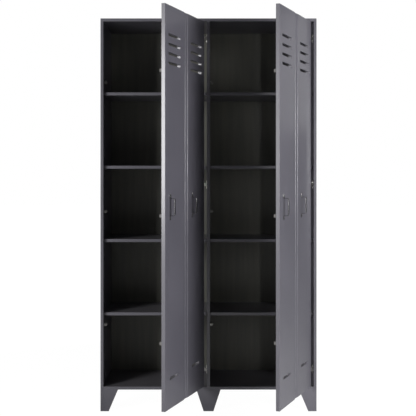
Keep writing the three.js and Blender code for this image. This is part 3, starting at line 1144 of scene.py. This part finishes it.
def makeCatches(side):
    sizes = catchSizes
    toRest = doorMatrix(side)
    inward = toRest.to_3x3() @ Vector((0, 1, 0))
    poles, bodyScrews, strikeScrews = [], [], []
    for i in fittingNumbers:
        node = f"{side}_catch_magnet_{i}"
        low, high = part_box(node)
        body = easeEdges(copyOfNode(node), sizes["bodyEdge"])
        setPiece(node + "_case", body, greyPlastic, "cabinet", [node])
        middle = (low + high) / 2
        half = (high.z - low.z) * sizes["poleHeightShare"] / 2
        for share in sizes["poleShares"]:
            x = low.x + (high.x - low.x) * share
            pole = boxMesh(
                (x - sizes["poleThickness"] / 2, low.y - sizes["poleReach"], middle.z - half),
                (x + sizes["poleThickness"] / 2, low.y + sizes["poleDepth"], middle.z + half),
            )
            poles.append(easeEdges(pole, sizes["poleEdge"]))
        for share in sizes["screwShares"]:
            y = low.y + (high.y - low.y) * share
            bodyScrews.append((Vector((high.x, y, middle.z)), Vector((1, 0, 0))))
        strike = f"{side}_catch_strike_{i}"
        strikeLow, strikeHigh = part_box(strike)
        pressed = easeEdges(copyOfNode(strike), sizes["strikeEdge"], segments=2)
        setPiece(strike + "_pressed", pressed, zinc, side + "_door", [strike])
        place = Vector((
            -doorWidth + sizes["strikeScrewFromEdge"],
            doorSizes["thickness"] + sizes["strikeScrewStandOff"],
            (strikeLow.z + strikeHigh.z) / 2 - doorLow.z,
        ))
        strikeScrews.append((toRest @ place, inward))
    name = side + "_catch_poles"
    setPiece(name, joinMeshes(name, poles), nickel, "cabinet")
    shape = sizes["screw"]
    setFasteners(side + "_catch_screws", screwTree, bodyScrews, shape, nickel, "cabinet")
    setFasteners(
        side + "_strike_screws", screwTree, strikeScrews, shape, zinc, side + "_door"
    )


for side in sides:
    makeCatches(side)
print("catches made")


# shelf pins and back panel screws

pinSizes = {
    "fromFront": 50 * mm,
    "fromBack": 45 * mm,
    "pin": {
        "Pin Radius": 2.5 * mm, "Pin Length": 9 * mm,
        "Collar Radius": 3.8 * mm, "Collar Height": 1.2 * mm,
    },
}
backScrewSizes = {
    "spacing": 120 * mm,
    "fromEdge": 7 * mm,
    "fromMiddle": 3.5 * mm,  # beside the other back panel
    "screw": {
        "Head Radius": 3.2 * mm, "Head Height": 0.6 * mm, "Crown Share": 0.8,
        "Recess Length": 3 * mm, "Recess Width": 0.7 * mm, "Recess Depth": 0.4 * mm,
    },
}


def makeShelfPins():
    places = []
    for node in groups["cabinet"]:
        if "shelf" not in node:
            continue
        low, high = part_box(node)
        z = low.z - pinSizes["pin"]["Pin Radius"]
        for y in (low.y + pinSizes["fromFront"], high.y - pinSizes["fromBack"]):
            places.append((Vector((low.x, y, z)), Vector((1, 0, 0))))
            places.append((Vector((high.x, y, z)), Vector((-1, 0, 0))))
    setFasteners("shelf_pins", pinTree, places, pinSizes["pin"], greyPlastic, "cabinet")


def alongEdge(first, last):
    count = max(2, round((last - first) / backScrewSizes["spacing"]) + 1)
    return [first + (last - first) * i / (count - 1) for i in range(count)]


def makeBackScrews():
    places = []
    for side in sides:
        low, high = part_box(side + "_back_panel")
        y = high.y - boardSizes["backInset"]
        inset = backScrewSizes["fromEdge"]
        left, right, foot, top = low.x + inset, high.x - inset, low.z + inset, high.z - inset
        if side == "left":
            right = high.x - backScrewSizes["fromMiddle"]
        else:
            left = low.x + backScrewSizes["fromMiddle"]
        spots = [(x, z) for x in alongEdge(left, right) for z in (foot, top)]
        spots += [(x, z) for z in alongEdge(foot, top)[1:-1] for x in (left, right)]
        for shelf in shelfNumbers:
            shelfLow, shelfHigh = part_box(f"{side}_shelf_{shelf}")
            spots += [(x, (shelfLow.z + shelfHigh.z) / 2) for x in alongEdge(left, right)[1:-1]]
        places += [(Vector((x, y, z)), Vector((0, 1, 0))) for x, z in spots]
    shape = backScrewSizes["screw"]
    setFasteners("back_panel_screws", screwTree, places, shape, nickel, "cabinet")


makeShelfPins()
makeBackScrews()
print("shelf pins and back screws made")


# floor, lights and camera

stageSizes = {
    "floorHalf": 30.0,
    "floorColour": (0.80, 0.80, 0.80, 1.0),
    "floorWhiteness": 0.94,
    "fadeFrom": 0.9,
    "fadeTo": 2.2,
    "ambient": 0.09,
    "floorGlow": 1.05,
    "aimHeight": 1.0,
}


def makeFloor():
    half = stageSizes["floorHalf"]
    corners = [(-half, -half, 0), (half, -half, 0), (half, half, 0), (-half, half, 0)]
    floor = linkNew("studio_floor", plainMesh("studio_floor", corners, [[0, 1, 2, 3]]))
    material = bpy.data.materials.new("studio_floor")
    material.use_nodes = True
    tree = material.node_tree
    tree.nodes.clear()
    place = addNode(tree, "ShaderNodeTexCoord").outputs["Object"]
    far = addNode(tree, "ShaderNodeVectorMath", {0: place}, operation="LENGTH").outputs["Value"]
    fade = addNode(
        tree, "ShaderNodeMapRange",
        {"Value": far, "From Min": stageSizes["fadeFrom"], "From Max": stageSizes["fadeTo"]},
        interpolation_type="SMOOTHSTEP",
    ).outputs[0]
    seen = addNode(tree, "ShaderNodeLightPath").outputs["Is Camera Ray"]
    whiteness = maths(tree, "MAXIMUM", fade, stageSizes["floorWhiteness"])
    share = maths(tree, "MULTIPLY", whiteness, seen)
    matt = addNode(
        tree, "ShaderNodeBsdfDiffuse", {"Color": stageSizes["floorColour"]}
    ).outputs[0]
    glow = {"Color": white, "Strength": stageSizes["floorGlow"]}
    bright = addNode(tree, "ShaderNodeEmission", glow).outputs[0]
    mixed = addNode(tree, "ShaderNodeMixShader", {0: share, 1: matt, 2: bright}).outputs[0]
    surface = addNode(tree, "ShaderNodeOutputMaterial")
    tree.links.new(mixed, surface.inputs["Surface"])
    floor.data.materials.append(material)


def makeWorld():
    # white to look at, but only a little light in it
    world = bpy.data.worlds.new("studio")
    bpy.context.scene.world = world
    world.use_nodes = True
    tree = world.node_tree
    tree.nodes.clear()
    seen = addNode(tree, "ShaderNodeLightPath").outputs["Is Camera Ray"]
    dim = stageSizes["ambient"]
    strength = addNode(
        tree, "ShaderNodeMapRange", {"Value": seen, "To Min": dim, "To Max": 1.0}
    ).outputs[0]
    sky = addNode(tree, "ShaderNodeBackground", {"Color": white, "Strength": strength})
    output = addNode(tree, "ShaderNodeOutputWorld")
    tree.links.new(sky.outputs[0], output.inputs["Surface"])


# azimuth is from straight in front, positive to the right, seen from above the cabinet's front
softboxes = {
    "key_right": {
        "azimuth": 47.5, "height": 1.55, "distance": 4.2, "size": (1.55, 1.2), "power": 232.0,
    },
    "side_left": {
        "azimuth": -44.0, "height": 1.6, "distance": 4.2, "size": (0.9, 1.5), "power": 140.0,
    },
    "back_right": {
        "azimuth": 131.5, "height": 1.95, "distance": 2.3, "size": (0.5, 0.9), "power": 0.9,
    },
}


def makeLights():
    target = Vector((0, frontY, stageSizes["aimHeight"]))
    for name, box in softboxes.items():
        data = bpy.data.lights.new(name, "AREA")
        data.shape = "RECTANGLE"
        data.size, data.size_y = box["size"]
        data.energy = box["power"]
        light = linkNew(name, data)
        turn = math.radians(box["azimuth"])
        reach = box["distance"]
        light.location = (reach * math.sin(turn), frontY - reach * math.cos(turn), box["height"])
        light.rotation_euler = (target - light.location).to_track_quat("-Z", "Y").to_euler()


cameraSizes = {
    "ahead": 4.52,
    "aside": -0.032,
    "height": 1.199,
    "lens": 76.85,
    "sensor": 36.0,
    "shiftX": 0.0139,
    "shiftY": -0.0776,
}


def makeCamera():
    data = bpy.data.cameras.new("camera")
    data.sensor_width = cameraSizes["sensor"]
    data.lens = cameraSizes["lens"]
    data.shift_x, data.shift_y = cameraSizes["shiftX"], cameraSizes["shiftY"]
    camera = linkNew("camera", data)
    camera.location = (cameraSizes["aside"], frontY - cameraSizes["ahead"], cameraSizes["height"])
    camera.rotation_euler = (math.pi / 2, 0, 0)
    bpy.context.scene.camera = camera


makeFloor()
makeWorld()
makeLights()
makeCamera()
bpy.context.scene.view_settings.view_transform = "Standard"
print("stage, lights and camera made")
